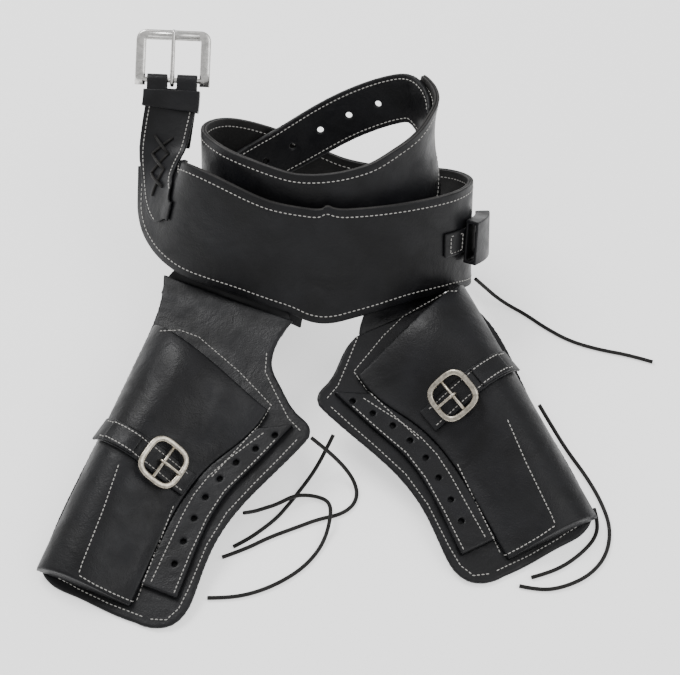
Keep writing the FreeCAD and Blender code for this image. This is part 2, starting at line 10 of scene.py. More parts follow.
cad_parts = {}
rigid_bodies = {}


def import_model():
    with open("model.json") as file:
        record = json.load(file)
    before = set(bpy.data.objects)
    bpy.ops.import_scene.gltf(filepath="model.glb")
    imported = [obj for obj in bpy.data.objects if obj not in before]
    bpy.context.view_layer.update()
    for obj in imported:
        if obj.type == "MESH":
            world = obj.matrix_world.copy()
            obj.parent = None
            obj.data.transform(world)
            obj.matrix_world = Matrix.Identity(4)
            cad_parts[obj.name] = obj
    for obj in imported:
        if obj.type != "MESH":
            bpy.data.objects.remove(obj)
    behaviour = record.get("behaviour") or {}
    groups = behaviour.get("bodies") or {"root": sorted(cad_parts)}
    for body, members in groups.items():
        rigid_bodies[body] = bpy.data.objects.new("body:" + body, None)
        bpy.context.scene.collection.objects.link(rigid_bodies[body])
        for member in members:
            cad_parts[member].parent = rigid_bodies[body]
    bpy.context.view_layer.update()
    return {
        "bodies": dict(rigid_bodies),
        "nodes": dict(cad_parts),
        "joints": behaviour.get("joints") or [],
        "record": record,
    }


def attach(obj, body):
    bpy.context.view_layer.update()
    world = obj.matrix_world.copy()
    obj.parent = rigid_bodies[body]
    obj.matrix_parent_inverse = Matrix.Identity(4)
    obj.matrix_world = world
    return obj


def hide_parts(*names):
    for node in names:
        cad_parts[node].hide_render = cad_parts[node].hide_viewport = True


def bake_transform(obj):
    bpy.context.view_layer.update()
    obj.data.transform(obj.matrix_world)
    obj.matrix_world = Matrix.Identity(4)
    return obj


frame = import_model()
MM = 0.001
ORIGIN = Vector((-15.76, -42.82, 0.11))

# ---------------------------------------------------------------- camera
TARGET = Vector((15.76, 42.82, -0.11)) * MM
ELEVATION = math.radians(55)
DISTANCE = 2.2
camera = bpy.data.objects.new("Camera", bpy.data.cameras.new("Camera"))
bpy.context.scene.collection.objects.link(camera)
camera.location = TARGET + Vector((0, -math.cos(ELEVATION), math.sin(ELEVATION))) * DISTANCE
camera.rotation_euler = (math.pi / 2 - ELEVATION, 0, 0)
camera.data.sensor_width = 36
camera.data.lens = 151.3
camera.data.clip_end = 20
bpy.context.scene.camera = camera


# ---------------------------------------------------------------- materials
def new_material(name, color, roughness, metallic=0.0):
    material = bpy.data.materials.new(name)
    material.use_nodes = True
    nodes = material.node_tree.nodes
    shader = nodes["Principled BSDF"]
    shader.inputs["Base Color"].default_value = (*color, 1)
    shader.inputs["Roughness"].default_value = roughness
    shader.inputs["Metallic"].default_value = metallic
    return material, nodes, material.node_tree.links, shader


def noise(nodes, links, scale, detail, distortion=0.0, kind="ShaderNodeTexNoise"):
    coordinates = nodes.new("ShaderNodeTexCoord")
    texture = nodes.new(kind)
    texture.inputs["Scale"].default_value = scale
    if kind == "ShaderNodeTexNoise":
        texture.inputs["Detail"].default_value = detail
        texture.inputs["Distortion"].default_value = distortion
    links.new(coordinates.outputs["Object"], texture.inputs["Vector"])
    return texture


def ramp(nodes, links, source, stops):
    node = nodes.new("ShaderNodeValToRGB")
    node.color_ramp.elements[0].position = stops[0][0]
    node.color_ramp.elements[0].color = (*stops[0][1], 1)
    node.color_ramp.elements[1].position = stops[1][0]
    node.color_ramp.elements[1].color = (*stops[1][1], 1)
    links.new(source, node.inputs["Fac"])
    return node


def bump(nodes, links, shader, layers):
    """Stack of bump layers: (height socket, strength, distance in metres)."""
    normal = None
    for height, strength, distance in layers:
        node = nodes.new("ShaderNodeBump")
        node.inputs["Strength"].default_value = strength
        node.inputs["Distance"].default_value = distance
        links.new(height, node.inputs["Height"])
        if normal is not None:
            links.new(normal, node.inputs["Normal"])
        normal = node.outputs["Normal"]
    links.new(normal, shader.inputs["Normal"])


def leather(name, dark, light, rough_low, rough_high, grain=1.0):
    material, nodes, links, shader = new_material(name, dark, rough_low)
    mottle = noise(nodes, links, 28, 5, 0.6)
    tint = ramp(nodes, links, mottle.outputs["Fac"], [(0.38, dark), (0.7, light)])
    links.new(tint.outputs["Color"], shader.inputs["Base Color"])
    rub = noise(nodes, links, 60, 6, 0.4)
    gloss = ramp(nodes, links, rub.outputs["Fac"], [(0.35, (rough_low,) * 3), (0.7, (rough_high,) * 3)])
    links.new(gloss.outputs["Color"], shader.inputs["Roughness"])
    pores = noise(nodes, links, 900, 0, kind="ShaderNodeTexVoronoi")
    creases = noise(nodes, links, 210, 8, 1.4)
    folds = noise(nodes, links, 26, 3, 0.8)
    bump(nodes, links, shader, [
        (folds.outputs["Fac"], 0.5, 0.0022),
        (creases.outputs["Fac"], 0.32 * grain, 0.0006),
        (pores.outputs["Distance"], 0.28 * grain, 0.00022)])
    shader.inputs["Specular IOR Level"].default_value = 0.28
    return material


def metal(name, color, roughness, spots):
    material, nodes, links, shader = new_material(name, color, roughness, 1.0)
    wear = noise(nodes, links, 320, 6, 0.5)
    tint = ramp(nodes, links, wear.outputs["Fac"], [(0.3, tuple(c * spots for c in color)), (0.62, color)])
    links.new(tint.outputs["Color"], shader.inputs["Base Color"])
    scratches = noise(nodes, links, 1400, 3, 0.2)
    bump(nodes, links, shader, [(scratches.outputs["Fac"], 0.12, 0.0001)])
    return material


BLACK = leather("BlackLeather", (0.0035, 0.0035, 0.0042), (0.0085, 0.0087, 0.0105), 0.36, 0.56)
LINING = leather("LiningLeather", (0.006, 0.0058, 0.0058), (0.015, 0.0145, 0.014), 0.5, 0.68, 1.3)
EDGE = leather("CutEdge", (0.022, 0.021, 0.021), (0.055, 0.053, 0.051), 0.5, 0.7, 1.5)
THONG = leather("Thong", (0.005, 0.0048, 0.0046), (0.012, 0.011, 0.010), 0.5, 0.7, 1.2)
NICKEL = metal("SatinNickel", (0.72, 0.71, 0.69), 0.26, 0.72)
WORN = metal("WornNickel", (0.60, 0.55, 0.46), 0.3, 0.5)
THREAD, thread_nodes, thread_links, thread_shader = new_material("Thread", (0.42, 0.41, 0.39), 0.75)
twist = noise(thread_nodes, thread_links, 2600, 2)
bump(thread_nodes, thread_links, thread_shader, [(twist.outputs["Fac"], 0.5, 0.0002)])


# ---------------------------------------------------------------- mesh tools
def mesh_object(name, verts, faces, materials, indices=None, smooth=True):
    mesh = bpy.data.meshes.new(name)
    mesh.from_pydata([tuple(v) for v in verts], [], faces)
    for material in materials:
        mesh.materials.append(material)
    if indices:
        mesh.polygons.foreach_set("material_index", indices)
    mesh.polygons.foreach_set("use_smooth", [smooth] * len(mesh.polygons))
    mesh.update()
    obj = bpy.data.objects.new(name, mesh)
    bpy.context.scene.collection.objects.link(obj)
    return obj


def applied(obj):
    """Bake an object's modifiers into its mesh."""
    graph = bpy.context.evaluated_depsgraph_get()
    baked = bpy.data.meshes.new_from_object(obj.evaluated_get(graph))
    obj.modifiers.clear()
    obj.data = baked
    return obj


def soft_copy(node, body, material, voxel, rounds):
    """A worn leather piece made from a CAD node: evenly meshed, with its edges rubbed round."""
    source = frame["nodes"][node]
    mesh = source.data.copy()
    mesh.transform(source.matrix_world)
    obj = bpy.data.objects.new(node + "_leather", mesh)
    bpy.context.scene.collection.objects.link(obj)
    remesh = obj.modifiers.new("Even", "REMESH")
    remesh.mode = "VOXEL"
    remesh.voxel_size = voxel * MM
    remesh.use_smooth_shade = True
    rub = obj.modifiers.new("Rub", "SMOOTH")
    rub.factor = 0.5
    rub.iterations = rounds
    applied(obj)
    obj.data.materials.clear()
    obj.data.materials.append(material)
    obj.data.polygons.foreach_set("use_smooth", [True] * len(obj.data.polygons))
    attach(obj, body)
    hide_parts(node)
    return obj


SEGMENTS = 6


def stitches(name, body, runs, length=2.5, radius=0.42, material=THREAD):
    """Thread stitches: runs is a list of (position, direction, normal) in the row frame, metres."""
    profile = [(-0.5, 0.0), (-0.42, 0.6), (-0.2, 1.0), (0.2, 1.0), (0.42, 0.6), (0.5, 0.0)]
    verts = []
    faces = []
    for position, direction, normal in runs:
        side = direction.cross(normal).normalized()
        up = side.cross(direction).normalized()
        base = len(verts)
        for share, scale in profile:
            centre = position + direction * (share * length * MM)
            for step in range(SEGMENTS):
                angle = 2 * math.pi * step / SEGMENTS
                reach = max(scale, 0.05) * radius * MM
                verts.append(centre + side * (math.cos(angle) * reach) + up * (math.sin(angle) * reach))
        for ring in range(len(profile) - 1):
            for step in range(SEGMENTS):
                a = base + ring * SEGMENTS + step
                b = base + ring * SEGMENTS + (step + 1) % SEGMENTS
                faces.append((a, b, b + SEGMENTS, a + SEGMENTS))
        faces.append(tuple(reversed(range(base, base + SEGMENTS))))
        faces.append(tuple(range(base + (len(profile) - 1) * SEGMENTS, base + len(profile) * SEGMENTS)))
    obj = mesh_object(name, verts, faces, [material])
    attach(obj, body)
    return obj


def resample(points, pitch):
    """(position, direction) every `pitch` metres along a polyline."""
    result = []
    left = pitch / 2
    for here, there in zip(points, points[1:]):
        step = there - here
        run = step.length
        if run == 0:
            continue
        while left <= run:
            result.append((here + step * (left / run), step.normalized()))
            left += pitch
        left -= run
    return result


# ---------------------------------------------------------------- belt
# x, y, z, width of the belt body, twist of its face towards +X, in the coil's own frame.
BELT_STATIONS = [
    (-127, 39, 161, 38, 90), (-128, 32, 145, 38, 90), (-131, 24, 127, 38, 70), (-134, 12, 104, 46, 42),
    (-132, -10, 83, 72, 20), (-112, -34, 76, 88, 6), (-64, -52, 62, 82, 0), (-30, -56, 53.5, 86, 0),
    (-12, -57, 50.5, 95, 0), (8, -56, 51.5, 88, 0), (46, -50, 57, 80, 0), (84, -30, 58, 79, 0),
    (98, 0, 54, 84, 0), (82, 32, 50, 82, 0), (40, 50, 46, 80, 0), (-10, 54, 54, 80, 0),
    (-58, 46, 77, 82, 0), (-91, 26, 93, 82, 0), (-102, 0, 96, 80, 0), (-82, -28, 90, 80, 0),
    (-40, -43, 79, 80, 0), (0, -46, 80, 80, 0), (36, -39, 92, 76, 0), (61, -22, 114, 70, 0),
    (69, 4, 136, 58, 0), (59, 26, 150, 44, 0), (40, 38, 147, 40, 0), (4, 45, 131, 40, 0),
    (-38, 42, 108, 40, 0), (-76, 24, 93, 40, 0), (-90, 6, 88, 30, 0)]
COIL_STEPS = 4
FINE = 4
COIL = Matrix.Translation(Vector((0, 24.4, 21.5)) - ORIGIN) @ Matrix.Rotation(math.radians(-30), 4, "X")


def smooth(stations, steps):
    last = len(stations) - 1
    samples = []
    for span in range(last):
        rows = (stations[max(span - 1, 0)], stations[span], stations[span + 1], stations[min(span + 2, last)])
        for step in range(steps):
            f = step / steps
            samples.append(tuple(
                0.5 * (2 * b + (c - a) * f + (2 * a - 5 * b + 4 * c - d) * f ** 2
                       + (3 * b - a - 3 * c + d) * f ** 3) for a, b, c, d in zip(*rows)))
    samples.append(tuple(stations[last]))
    return samples


def belt_frames():
    """(point, along, across, outward, width) down the belt, in the row frame, millimetres."""
    samples = smooth(BELT_STATIONS, COIL_STEPS)
    turn = COIL.to_3x3()
    sections = []
    for index, sample in enumerate(samples):
        ahead = Vector(samples[min(index + 1, len(samples) - 1)][:3])
        behind = Vector(samples[max(index - 1, 0)][:3])
        along = (ahead - behind).normalized()
        lean = math.radians(sample[4])
        across = Vector((math.sin(lean), 0, math.cos(lean)))
        across = (across - along * across.dot(along)).normalized()
        sections.append((*(COIL @ Vector(sample[:3])), *(turn @ along), *(turn @ across), sample[3]))
    result = []
    for values in smooth(sections, FINE):
        along = Vector(values[3:6]).normalized()
        across = Vector(values[6:9]).normalized()
        result.append((Vector(values[:3]), along, across, along.cross(across).normalized(), values[9]))
    return result


BELT = belt_frames()


def stretch(start, end):
    return BELT[round(start * COIL_STEPS * FINE):round(end * COIL_STEPS * FINE) + 1]


def strip_section(low, high, half, round_by):
    """Points round a strip's section, and which steps lie on the cut edges."""
    ring = []
    flat_shares = (0.1, 0.3, 0.5, 0.7, 0.9)
    corners = ((high, half, 0), (low, half, 90), (low, -half, 180), (high, -half, 270))
    for number, (a, b, start) in enumerate(corners):
        centre_a = a - math.copysign(round_by, 1 if number in (0, 3) else -1)
        centre_b = b - math.copysign(round_by, b)
        for turn in (0, 30, 60, 90):
            angle = math.radians(start + turn)
            ring.append((centre_a + math.cos(angle) * round_by, centre_b + math.sin(angle) * round_by,
                         turn < 60 if number in (0, 2) else turn > 30))
        if number in (0, 2):
            first = ring[-1]
            goal = corners[number + 1][0] + math.copysign(round_by, high - low) * (1 if number == 0 else -1)
            for share in flat_shares:
                ring.append((first[0] + (goal - first[0]) * share, first[1], False))
    return ring


def leather_ribbon(name, run, offset, thickness, edges, face, edge, round_by, body, replaced):
    """Leather strip along the belt's frames, with rounded edges that show the cut fibre."""
    half = thickness / 2
    round_by = min(round_by, half * 0.98)
    verts = []
    flags = []
    for point, along, across, outward, width in run:
        low, high = edges(width)
        ring = strip_section(low, high, half, round_by)
        flags = [flag for a, b, flag in ring]
        for a, b, flag in ring:
            verts.append((point + across * a + outward * (offset + b)) * MM)
    count = len(flags)
    faces = []
    indices = []
    for row in range(len(run) - 1):
        for step in range(count):
            after = (step + 1) % count
            faces.append((row * count + step, (row + 1) * count + step,
                          (row + 1) * count + after, row * count + after))
            indices.append(1 if flags[step] and flags[after] or (flags[step] and not flags[after - 2]) else 0)
    faces.append(tuple(range(count)))
    faces.append(tuple(reversed(range((len(run) - 1) * count, len(run) * count))))
    indices += [1, 1]
    obj = mesh_object(name, verts, faces, [face, edge], indices)
    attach(obj, body)
    for node in replaced:
        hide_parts(node)
    return obj


def line_along(run, offset, position):
    """Polyline on a ribbon's face; position(width) is the distance from its centre line."""
    points = [(point + across * position(width) + outward * offset) * MM
              for point, along, across, outward, width in run]
    normals = [outward * math.copysign(1, offset) for point, along, across, outward, width in run]
    return points, normals


def closest(points, spot):
    """Index of the point of a polyline that lies closest to a spot."""
    return min(range(len(points)), key=lambda index: (points[index] - spot).length_squared)


def belt_stitches(name, run, offset, position, pitch=3.6):
    """A row of stitches on one face of the belt."""
    points, normals = line_along(run, offset, position)
    stitches(name, "belt", [(spot, direction, normals[closest(points, spot)])
                            for spot, direction in resample(points, pitch * MM)])


OUTER = 2.4
INNER = 1.8
HALF = (OUTER + 0.1 + INNER) / 2
BODY = stretch(3, 25)
leather_ribbon("belt_outer_leather", BODY, HALF - OUTER / 2 - 0.03, OUTER + 0.06, lambda w: (-w / 2, w / 2),
               BLACK, EDGE, 0.9, "belt", ["belt_outer"])
leather_ribbon("belt_lining_leather", BODY, INNER / 2 - HALF + 0.03, INNER + 0.06,
               lambda w: (-w / 2 + 0.3, w / 2 - 0.3), LINING, EDGE, 0.6, "belt", ["belt_lining"])
STITCHED = stretch(3.05, 24.95)
INSET = 6
for edge_name, sign in (("upper", 1), ("lower", -1)):
    belt_stitches("belt_stitch_out_" + edge_name, STITCHED, HALF,
                  lambda w, sign=sign: sign * (w / 2 - INSET))
    belt_stitches("belt_stitch_in_" + edge_name, STITCHED, -HALF,
                  lambda w, sign=sign: sign * (w / 2 - INSET))

# ---------------------------------------------------------------- pieces sewn to the belt
VOXEL = 0.8
FINE_VOXEL = 0.65
SOFTENING = 3
for piece, voxel in (("billet_strap", VOXEL), ("buckle_strap", FINE_VOXEL), ("buckle_keeper", FINE_VOXEL),
                     ("side_tab", FINE_VOXEL), ("side_tab_loop", FINE_VOXEL), ("left_hanger", VOXEL),
                     ("right_hanger", VOXEL), ("centre_drop", VOXEL)):
    soft_copy(piece, "belt", BLACK, voxel, SOFTENING)

LAYER_GAP = 0.4
BILLET_WIDTH = 38
BILLET_THICKNESS = 3.4
BILLET_INSET = 3.5
BILLET_PITCH = 3.4
billet_level = -(HALF + LAYER_GAP + BILLET_THICKNESS / 2)
BILLET_RUN = stretch(24.2, 29.2)
for edge_name, sign in (("upper", 1), ("lower", -1)):
    for face_name, face_sign in (("out", 1), ("in", -1)):
        offset = billet_level + face_sign * BILLET_THICKNESS / 2
        points = line_along(BILLET_RUN, offset,
                            lambda w, sign=sign: sign * (min(w, BILLET_WIDTH) / 2 - BILLET_INSET))[0]
        placed = [(spot, direction, BILLET_RUN[closest(points, spot)][3] * face_sign)
                  for spot, direction in resample(points, BILLET_PITCH * MM)]
        stitches("billet_stitch_%s_%s" % (face_name, edge_name), "belt", placed)

CHAPE = 2.2
CHAPE_CORE = 4.0
CHAPE_ROW = 15.5
FINE_PITCH = 3.2
chape_level = CHAPE_CORE / 2 + LAYER_GAP + CHAPE / 2
TAB_RUN = stretch(0.6, 4.1)
for edge_name, sign in (("right", 1), ("left", -1)):
    points = line_along(TAB_RUN, chape_level + CHAPE / 2, lambda w, sign=sign: sign * CHAPE_ROW)[0]
    placed = [(spot, direction, TAB_RUN[closest(points, spot)][3])
              for spot, direction in resample(points, FINE_PITCH * MM)]
    stitches("chape_stitch_" + edge_name, "belt", placed)

# Box of stitches on the side tab: for each of its ends the belt's station, and how far the row runs
# above and below the belt's centre line.
TAB_LEVEL = HALF + 0.1 + 2.2
TAB_ENDS = [(stretch(station, station)[0], above, below)
            for station, above, below in ((10.875, 6.5, 7.5), (11.1875, 6, 7))]
box = [(frame, above) for frame, above, below in TAB_ENDS]
box += [(frame, -below) for frame, above, below in reversed(TAB_ENDS)]
box.append(box[0])
box_points = [(frame[0] + frame[2] * reach + frame[3] * TAB_LEVEL) * MM for frame, reach in box]
stitches("side_tab_stitch", "belt", [(spot, direction, TAB_ENDS[0][0][3])
                                     for spot, direction in resample(box_points, FINE_PITCH * MM)])


def tube(path, radii, material, name, sides=10):
    """Round tube along a polyline in metres, radius per point in millimetres."""
    verts = []
    faces = []
    up = Vector((0, 0, 1))
    for index, point in enumerate(path):
        along = (path[min(index + 1, len(path) - 1)] - path[max(index - 1, 0)]).normalized()
        side = along.cross(up)
        if side.length < 0.1:
            side = along.cross(Vector((1, 0, 0)))
        side.normalize()
        over = side.cross(along)
        for step in range(sides):
            angle = 2 * math.pi * step / sides
            verts.append(point + (side * math.cos(angle) + over * math.sin(angle)) * (radii[index] * MM))
        up = over
    for row in range(len(path) - 1):
        for step in range(sides):
            a = row * sides + step
            b = row * sides + (step + 1) % sides
            faces.append((a, a + sides, b + sides, b))
    faces.append(tuple(range(sides)))
    faces.append(tuple(reversed(range((len(path) - 1) * sides, len(path) * sides))))
    return mesh_object(name, verts, faces, [material])


# Crossed thongs on the buckle strap's tab.
LACE_REACH = 7
LACE_RADII = [0.7, 1.0, 1.15, 1.15, 1.15, 1.0, 0.7]
lacing = []
for start in (2.25, 2.75, 3.25):
    low = BELT[round(start * COIL_STEPS * FINE)]
    high = BELT[round((start + 0.5) * COIL_STEPS * FINE)]
    level = chape_level + CHAPE / 2
    for sign, lift in ((1, 1.2), (-1, 2.0)):
        first = low[0] + low[3] * level + low[2] * (LACE_REACH * sign)
        second = high[0] + high[3] * level - high[2] * (LACE_REACH * sign)
        middle = (first + second) / 2
        rise = (low[3] + high[3]).normalized()
        path = [first - rise * 0.8, first + rise * 0.5, first.lerp(middle, 0.5) + rise * lift * 0.85,
                middle + rise * lift, second.lerp(middle, 0.5) + rise * lift * 0.85, second + rise * 0.5,
                second - rise * 0.8]
        part = tube([p * MM for p in path], LACE_RADII, THONG, "lace")
        lacing.append(part)
mesh = bmesh.new()
for part in lacing:
    mesh.from_mesh(part.data)
    bpy.data.objects.remove(part)
joined = bpy.data.meshes.new("chape_lacing_thongs")
mesh.to_mesh(joined)
mesh.free()
joined.materials.append(THONG)
lacing_piece = bpy.data.objects.new("chape_lacing_thongs", joined)
bpy.context.scene.collection.objects.link(lacing_piece)
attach(lacing_piece, "belt")
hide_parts("chape_lacing")

# ---------------------------------------------------------------- holsters
PITCH = math.radians(12.2)


def holster_matrix(x, y, z, yaw):
    return (Matrix.Translation(Vector((x, y, z)) - ORIGIN) @ Matrix.Rotation(math.radians(yaw), 4, "Z")
            @ Matrix.Rotation(PITCH, 4, "X"))


HOLSTERS = {"left": (1, holster_matrix(-140.5, -27.2, 45.2, -23.6)),
            "right": (-1, holster_matrix(94.5, 10, 45.2, 28.2))}
# Down towards the toe and across from the folded edge, seen on the left holster.
PANELS = {
    "upper": [(-2, 6), (-8, 19), (-8, 35), (7, 75), (23, 108), (40, 106), (68, 97), (93, 89)],
    "lower_left": [(104, 23), (140, 27), (184, 30), (192, 31)],
    "lower_right": [(120, 73), (150, 75), (184, 77), (198, 78)],
    "lower_toe": [(193, 31), (196, 46), (198, 62), (199, 77)],
    "border": [(40, 137), (60, 130), (84, 121), (112, 111.5), (140, 108), (175, 109.5), (192, 109),
               (203, 104), (207, 92)],
    "toe": [(207, 88), (207, 60), (205, 34), (202, 16)],
    "shoulder": [(34, 137), (28, 124), (12, 106), (0, 93), (-14, 88)],
    "welt_in": [(44, 112), (60, 103), (75, 94.5), (91, 87.5), (108, 83.2), (126, 82), (145, 82), (180, 82)],
    "welt_out": [(46, 122), (70, 113.5), (97, 103), (120, 99.5), (150, 99.5), (182, 101)]}


def tree_of(objects):
    """One search tree for the top surfaces of several pieces."""
    verts = []
    polygons = []
    for obj in objects:
        base = len(verts)
        verts += [obj.matrix_world @ vertex.co for vertex in obj.data.vertices]
        polygons += [[base + index for index in polygon.vertices] for polygon in obj.data.polygons]
    return BVHTree.FromPolygons(verts, polygons)


SKIRT_THICKNESS = 3.2
RAY_START = 0.2


def laid(tree, local, side, polyline, pitch, sight, level=SKIRT_THICKNESS):
    """Stitch placements where a polyline, seen along `sight`, falls on the holster."""
    points = [Vector((side * across, -down, level)) for down, across in polyline]
    fine = [local @ spot * MM for spot, direction in resample(points, 1.0)]
    hits = []
    for spot in fine:
        hit, normal = tree.ray_cast(spot - sight * RAY_START, sight)[:2]
        if hit is not None:
            hits.append((hit, normal if normal.dot(sight) < 0 else -normal))
    placed = []
    points = [hit for hit, normal in hits]
    for spot, direction in resample(points, pitch * MM):
        placed.append((spot, direction, hits[closest(points, spot)][1]))
    return placed


SIGHT = -Vector((0, -math.cos(ELEVATION), math.sin(ELEVATION)))
STRAP_ROWS = (-6.5, 6.5)
STRAP_DOWN = {"left": 90, "right": 70}
# Each neck: how far up it reaches, its two sides there, and the belt stations of its hanger.
NECKS = {"left": (-46, -12, 96, 5.0, 6.75), "right": (-2, 10, 93, 10.75, 9.25)}


def neck(prefix, side, local):
    """Leather that bends from the hanger under the belt down to the top of a holster."""
    reach, near, far, near_station, far_station = NECKS[prefix]
    columns = 16
    rows = 12
    verts = []
    for column in range(columns + 1):
        share = column / columns
        across = near + 4 + (far - near - 8) * share
        station = near_station + (far_station - near_station) * share
        point, along, over, outward, width = BELT[round(station * COIL_STEPS * FINE)]
        low = point - over * (width / 2 - 9) - outward * 5.8
        high = point - over * (width / 2 - 34) - outward * 5.8
        guides = [local @ Vector((side * across, -reach - 14, -0.6)),
                  local @ Vector((side * across, -reach + 2, 0.2)), low, high]
        for f in [row / rows for row in range(rows + 1)]:
            span = min(int(f * 3), 2)
            g = f * 3 - span
            b = guides[max(span - 1, 0)]
            c, d = guides[span], guides[span + 1]
            e = guides[min(span + 2, 3)]
            spot = (2 * c + (d - b) * g + (2 * b - 5 * c + 4 * d - e) * g ** 2
                    + (3 * c - b - 3 * d + e) * g ** 3) * 0.5
            verts.append(spot * MM)
    faces = []
    for column in range(columns):
        for row in range(rows):
            a = column * (rows + 1) + row
            faces.append((a, a + 1, a + rows + 2, a + rows + 1))
    obj = mesh_object(prefix + "_neck_leather", verts, faces, [BLACK])
    thick = obj.modifiers.new("Thick", "SOLIDIFY")
    thick.thickness = 2.2 * MM
    thick.offset = 0
    rub = obj.modifiers.new("Rounded", "BEVEL")
    rub.width = 0.6 * MM
    rub.segments = 2
    applied(obj)
    obj.data.polygons.foreach_set("use_smooth", [True] * len(obj.data.polygons))
    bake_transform(obj)


for prefix, (side, local) in HOLSTERS.items():
    body = prefix + "_holster"
    skirt = soft_copy(prefix + "_skirt", body, BLACK, 1.15, 3)
    pouch = soft_copy(prefix + "_pouch", body, BLACK, 1.05, 6)
    welt = soft_copy(prefix + "_welt", body, BLACK, 0.85, 3)
    strap = soft_copy(prefix + "_strap", body, BLACK, 0.6, 3)
    chape = soft_copy(prefix + "_strap_chape", body, BLACK, 0.6, 3)
    shell = tree_of([skirt, pouch, welt])
    for panel, polyline in PANELS.items():
        stitches("%s_stitch_%s" % (prefix, panel), body, laid(shell, local, side, polyline, 3.4, SIGHT))
    neck(prefix, side, local)
    bands = tree_of([strap, chape])
    down_dir = -(local.to_3x3() @ Vector((0, 0, 1)))
    for number, row in enumerate(STRAP_ROWS):
        polyline = [(STRAP_DOWN[prefix] + 0.19 * across + row, across) for across in range(5, 79, 3)]
        stitches("%s_strap_stitch_%d" % (prefix, number), body,
                 laid(bands, local, side, polyline, 3.2, down_dir))


# ---------------------------------------------------------------- metal
def axes(base, x_axis, y_axis, z_axis):
    matrix = Matrix((x_axis, y_axis, z_axis)).transposed().to_4x4()
    matrix.translation = Vector(base)
    return matrix


def rail(name, outline, wide, thick, matrix, material, closed=True, sides=14):
    """Rail with an oval section along a flat outline in the plane of `matrix`, millimetres."""
    count = len(outline)
    verts = []
    faces = []
    for index, (x, y) in enumerate(outline):
        ahead = Vector(outline[(index + 1) % count if closed else min(index + 1, count - 1)])
        behind = Vector(outline[index - 1 if closed else max(index - 1, 0)])
        along = (ahead - behind).normalized()
        out = Vector((along.y, -along.x))
        for step in range(sides):
            angle = 2 * math.pi * step / sides
            ca = math.copysign(abs(math.cos(angle)) ** 0.65, math.cos(angle))
            sa = math.copysign(abs(math.sin(angle)) ** 0.65, math.sin(angle))
            verts.append(matrix @ Vector((x + out.x * ca * wide / 2, y + out.y * ca * wide / 2,
                                          sa * thick / 2)) * MM)
    for index in range(count if closed else count - 1):
        after = (index + 1) % count
        for step in range(sides):
            b = (step + 1) % sides
            faces.append((index * sides + step, after * sides + step, after * sides + b, index * sides + b))
    if not closed:
        faces.append(tuple(range(sides)))
        faces.append(tuple(reversed(range((count - 1) * sides, count * sides))))
    return mesh_object(name, verts, faces, [material])


def merged(name, parts, material, body, node):
    """One piece out of several shells."""
    mesh = bmesh.new()
    for part in parts:
        mesh.from_mesh(part.data)
        bpy.data.objects.remove(part)
    bmesh.ops.recalc_face_normals(mesh, faces=mesh.faces)
    data = bpy.data.meshes.new(name)
    mesh.to_mesh(data)
    mesh.free()
    data.materials.append(material)
    data.polygons.foreach_set("use_smooth", [True] * len(data.polygons))
    obj = bpy.data.objects.new(name, data)
    bpy.context.scene.collection.objects.link(obj)
    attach(obj, body)
    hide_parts(node)
    return obj


def spline_tube(name, matrix, points, radii, material):
    return tube([matrix @ Vector(point) * MM for point in points], radii, material, name, sides=12)


def joint_of(name):
    return next(joint for joint in frame["joints"] if joint["name"] == name)


def ring_axes(prefix):
    """Frame of a small buckle: its bar lies on the tongue's hinge, its plane is that of the ring's mesh."""
    joint = joint_of(prefix + "_tongue_lift")
    y_axis = -Vector(joint["axis"]).normalized()
    corners = numpy.array([vertex.co for vertex in frame["nodes"][prefix + "_ring_buckle"].data.vertices])
    z_axis = Vector(numpy.linalg.eigh(numpy.cov((corners - corners.mean(axis=0)).T))[1][:, 0])
    if z_axis.z < 0:
        z_axis = -z_axis
    z_axis = (z_axis - y_axis * z_axis.dot(y_axis)).normalized()
    return axes(Vector(joint["pos_m"]) / MM, y_axis.cross(z_axis), y_axis, z_axis)


HEEL, HEEL_ALONG, HEEL_ACROSS, HEEL_OUT = BELT[0][:4]
BUCKLE = axes(HEEL, HEEL_ACROSS, -HEEL_ALONG, HEEL_OUT)
RINGS = {prefix: ring_axes(prefix) for prefix in HOLSTERS}


def tongue(name, matrix, turn, bar_radius, pin_radius, length, rise, material, body, node):
    """Pin bent round its bar: the eye, then a straight run that tapers to its tip."""
    spin = matrix @ Matrix.Rotation(math.radians(turn), 4, "Z")
    loop = bar_radius + pin_radius * 0.9
    path = []
    radii = []
    for step in range(15):
        angle = math.radians(-200 + 290 * step / 14)
        path.append((0, -math.cos(angle) * loop, math.sin(angle) * loop))
        radii.append(pin_radius * 0.85)
    for share in (0.12, 0.3, 0.5, 0.7, 0.85, 0.95, 1.0):
        path.append((0, length * share, loop + (rise - loop) * share))
        radii.append(pin_radius * (1.0 - 0.18 * share) if share < 1 else pin_radius * 0.45)
    part = spline_tube(name + "_pin", spin, path, radii, material)
    return merged(name, [part], material, body, node)


def squared(reach, angle):
    """Point on a square with well-rounded corners."""
    c = math.cos(math.radians(angle))
    s = math.sin(math.radians(angle))
    return (math.copysign(abs(c) ** 0.62, c) * reach, math.copysign(abs(s) ** 0.62, s) * reach)


